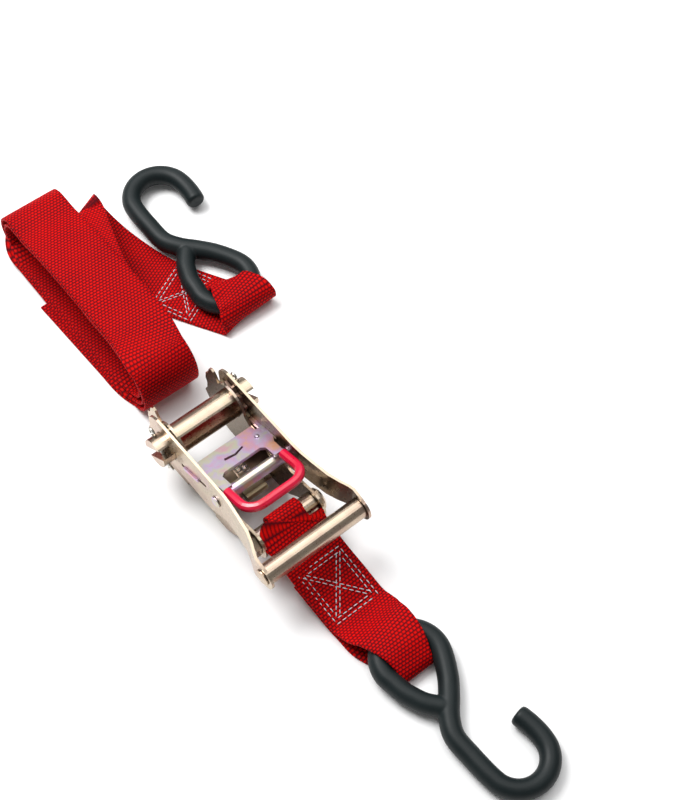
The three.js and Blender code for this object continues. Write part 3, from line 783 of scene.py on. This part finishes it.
def roll_controls():
    """From the cut end on the floor, nearly three times round inwards, to the turn into the lead."""
    outer = roll_run([(-141, ON_FLOOR), (-110, ON_FLOOR), (-80, ON_FLOOR), (-64, ON_FLOOR)], outer_end_shift)
    outer += roll_run(arc(-54.5, -13.2, 18.8, -80, 80, 8), -3.0)
    outer += roll_run([(-70, 5.8), (-100, 5.8), (-135, 4.6), (-155, 2.4), (-168, 0.0)])
    outer += roll_run(arc(-179.5, -14.2, 14.4, 84, 240, 8))
    middle = roll_run([(-180, -28.8), (-170, -30.0), (-155, ON_FLOOR + 2.0), (-120, ON_FLOOR + 2.1),
                       (-80, ON_FLOOR + 2.1), (-63, ON_FLOOR + 2.2)], -5.0)
    middle += roll_run(arc(-56, -13.4, 16.4, -80, 80, 8), -2.0)
    middle += roll_run([(-72, 3.4), (-100, 3.5), (-135, 2.3), (-154, 0.1), (-165, -2.4)], -0.5)
    middle += roll_run(arc(-177.5, -14.4, 12.1, 84, 236, 7), -0.5)
    inner = roll_run([(-175, -26.4), (-164, -28.0), (-150, ON_FLOOR + 4.3), (-120, ON_FLOOR + 4.3),
                      (-84, ON_FLOOR + 4.4), (-66, ON_FLOOR + 5.0)], -3.0)
    inner += roll_run(arc(-58, -13.6, 13.6, -75, 75, 7), -1.0)
    inner += roll_run([(-74, 0.8), (-100, 1.2), (-120, 0.3), (-138, -2.2), (-152, -5.0), (-162, -7.8)],
                      inner_end_shift)
    return outer + middle + inner + flap_turn()


def flap_turn():
    """The tight turn where the strap leaves the roll: over, and back beneath itself."""
    return [
        (-168, 29.2, -10.2, HALF, -3, 0),
        (-170.4, 30.4, -13.0, HALF, -1, -2),
        (-167.6, 31.8, -15.9, HALF, 5, -5),
    ]


def lead_controls():
    """From the turn at the back of the roll, down beside it to the floor and round the loose hook's bar."""
    bar_x, bar_y = LOOSE_BAR.x, LOOSE_BAR.y
    return [
        flap_turn()[-1],
        (-160, 33.8, -19.2, HALF, 8, -8),
        (-148, 37.0, -23.4, HALF, 12, -10),
        (-131, 41.8, -28.2, HALF, 15, -6),
        (-115, 47.2, FLOOR + 1.6, HALF, 20, -1),
        (-98, 55.0, FLOOR + 1.0, HALF, 24, 0),
        (-84, 62.6, FLOOR + 1.0, HALF, 24, 0),
        (-72, 69.6, FLOOR + 1.0, HALF, 18, 0),
        (-63, 75.0, FLOOR + 1.4, HALF + 0.5, 8, 0),
        (-58.2, 76.8, -29.6, HALF + 0.8, 3, 0),
        (-56.6, 77.2, -25.2, HALF + 0.8, 0, 0),
        (-58.4, 77.3, -20.6, HALF + 0.4, -3, 0),
        (bar_x + 3, bar_y, -17.9, HALF - 1.0, -8, 0),
        (bar_x - 4, bar_y - 1.0, -17.5, HALF - 3.0, -14, 0),
        (bar_x - 10, bar_y - 2.6, -18.2, HALF - 6.4, -16, 0),
        (bar_x - 14.5, bar_y - 3.8, -21.2, HALF - 11.2, -12, 0),
        (bar_x - 17.5, bar_y - 4.4, -25.8, HALF - 12.4, -2, 0),
        (bar_x - 20.5, bar_y - 4.8, FLOOR + 3.2, HALF - 12.6, 4, 0),
        (bar_x - 25.5, bar_y - 5.0, FLOOR + 2.8, HALF - 13.6, 10, 0),
    ]


roll = strap_piece("rolled_webbing", roll_controls())
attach(roll, "long_strap")
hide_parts("strap_roll")

lead = strap_piece("lead_webbing", lead_controls())
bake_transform(lead)
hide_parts("strap_lead")


LEAD_SEWN_X = -95
LEAD_SEWN_Y = 56.4
LEAD_YAW = math.radians(24)


def lead_surface(u, v):
    """Top face of the lead where it's sewn, just behind the eye, and its normal."""
    x = LEAD_SEWN_X + u * math.cos(LEAD_YAW) - v * math.sin(LEAD_YAW)
    y = LEAD_SEWN_Y + u * math.sin(LEAD_YAW) + v * math.cos(LEAD_YAW)
    return Vector((x, y, FLOOR + 1.0 + THICK / 2 + RIB_SWELL)), Vector((0, 0, 1))


stitch_lines("lead_stitching", box_cross(27, 33), lead_surface, "long_strap")


# ---------- floor and light ----------
FLOOR_REACH = 9000
KEY_PLACE = (-0.7, -0.25, 1.2)
KEY_SIZE = 0.7
KEY_POWER = 19
SKY_PLACE = (-0.3, 0.25, 1.0)
SKY_SPREAD = math.radians(70)
SKY_STRENGTH = 1.9
WORLD_STRENGTH = 0.24


def add_floor():
    """A wide, pale, dull floor."""
    made = Nodes("floor")
    coordinate = made.add("ShaderNodeTexCoord").outputs["Object"]
    tone = made.noise(coordinate, 3, 2)
    colours = made.ramp(tone, [(0.3, (0.9, 0.9, 0.9)), (0.7, (0.93, 0.93, 0.93))])
    made.link(colours, made.shader.inputs["Base Color"])
    made.set("Roughness", 0.9)
    made.set("Specular IOR Level", 0.1)
    size = FLOOR_REACH
    corners = [(-size, -size, FLOOR), (size, -size, FLOOR), (size, size, FLOOR), (-size, size, FLOOR)]
    floor = add_mesh("floor", corners, [(0, 1, 2, 3)], made.material, smooth=False)


def add_light(data, place):
    """Puts a light in the scene at place, in metres, shining towards the origin."""
    light = bpy.data.objects.new(data.name, data)
    bpy.context.scene.collection.objects.link(light)
    light.location = place
    light.rotation_mode = "QUATERNION"
    light.rotation_quaternion = Vector(place).to_track_quat("Z", "Y")


def add_lights():
    """A soft lamp for the highlights and a wide sun for the even light of the photo."""
    key = bpy.data.lights.new("key", "AREA")
    key.size = KEY_SIZE
    key.energy = KEY_POWER
    add_light(key, KEY_PLACE)
    sky = bpy.data.lights.new("sky", "SUN")
    sky.angle = SKY_SPREAD
    sky.energy = SKY_STRENGTH
    add_light(sky, SKY_PLACE)


def add_world():
    """An even white surround."""
    world = bpy.data.worlds.new("studio")
    world.use_nodes = True
    background = world.node_tree.nodes["Background"]
    background.inputs["Color"].default_value = (1, 1, 1, 1)
    background.inputs["Strength"].default_value = WORLD_STRENGTH
    bpy.context.scene.world = world


add_floor()
add_lights()
add_world()
bpy.context.scene.view_settings.view_transform = "Standard"
